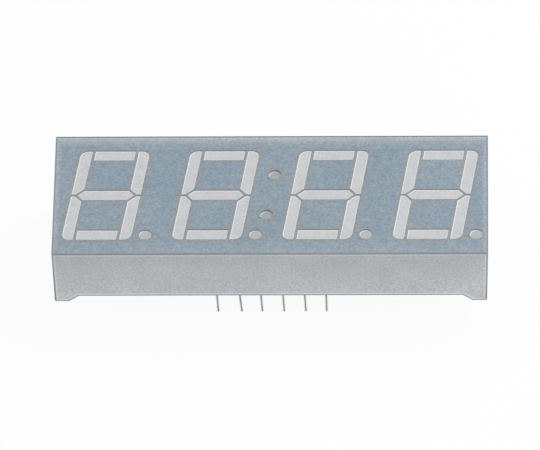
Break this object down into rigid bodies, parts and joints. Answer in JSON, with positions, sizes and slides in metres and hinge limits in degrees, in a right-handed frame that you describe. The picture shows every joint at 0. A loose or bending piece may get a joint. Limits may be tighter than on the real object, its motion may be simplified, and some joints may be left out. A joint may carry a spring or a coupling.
{
  "type": "seven segment display module",
  "caption": "Clock display block with slanted segment digits, a colon and decimal points behind a printed grey face, on through-hole leads in two rows.",
  "frame": {"origin": "centre of the seating plane under the four corner feet, midway between the two rows of leads", "axes": "+X along the row of digits, +Y towards the top of the digits, +Z out of the printed face; the leads point along -Z"},
  "size_m": [0.0502, 0.019, 0.0115],
  "materials": {
    "case_plastic": "white polycarbonate as moulded, fine satin",
    "face_ink": "blue-grey screen-printed ink, satin",
    "cast_epoxy": "milky diffused casting epoxy, smooth",
    "board_laminate": "natural glass-epoxy laminate",
    "plated_copper": "gold-flashed copper foil",
    "solder": "bright tin solder",
    "silver_adhesive": "silver-filled epoxy, dull",
    "tinned_pin": "bright tin plate on copper wire",
    "emitter_die": "bare semiconductor chip with a metal pad",
    "bond_wire": "drawn aluminium wire"
  },
  "bodies": {
    "root": {"reflector_housing": "case_plastic", "printed_face": "face_ink", "epoxy_fill": "cast_epoxy", "circuit_board": "board_laminate", "top_copper": "plated_copper", "bottom_copper": "plated_copper", "solder_joints": "solder", "die_attach": "silver_adhesive", "pin_01": "tinned_pin", "pin_02": "tinned_pin", "pin_03": "tinned_pin", "pin_04": "tinned_pin", "pin_05": "tinned_pin", "pin_06": "tinned_pin", "pin_07": "tinned_pin", "pin_08": "tinned_pin", "pin_09": "tinned_pin", "pin_10": "tinned_pin", "pin_11": "tinned_pin", "pin_12": "tinned_pin", "die_1a": "emitter_die", "die_1b": "emitter_die", "die_1c": "emitter_die", "die_1d": "emitter_die", "die_1e": "emitter_die", "die_1f": "emitter_die", "die_1g": "emitter_die", "die_1dp": "emitter_die", "die_2a": "emitter_die", "die_2b": "emitter_die", "die_2c": "emitter_die", "die_2d": "emitter_die", "die_2e": "emitter_die", "die_2f": "emitter_die", "die_2g": "emitter_die", "die_2dp": "emitter_die", "die_3a": "emitter_die", "die_3b": "emitter_die", "die_3c": "emitter_die", "die_3d": "emitter_die", "die_3e": "emitter_die", "die_3f": "emitter_die", "die_3g": "emitter_die", "die_3dp": "emitter_die", "die_4a": "emitter_die", "die_4b": "emitter_die", "die_4c": "emitter_die", "die_4d": "emitter_die", "die_4e": "emitter_die", "die_4f": "emitter_die", "die_4g": "emitter_die", "die_4dp": "emitter_die", "die_colon_top": "emitter_die", "die_colon_bottom": "emitter_die", "bond_wires_1": "bond_wire", "bond_wires_2": "bond_wire", "bond_wires_3": "bond_wire", "bond_wires_4": "bond_wire", "bond_wires_colon": "bond_wire"}
  },
  "joints": []
}
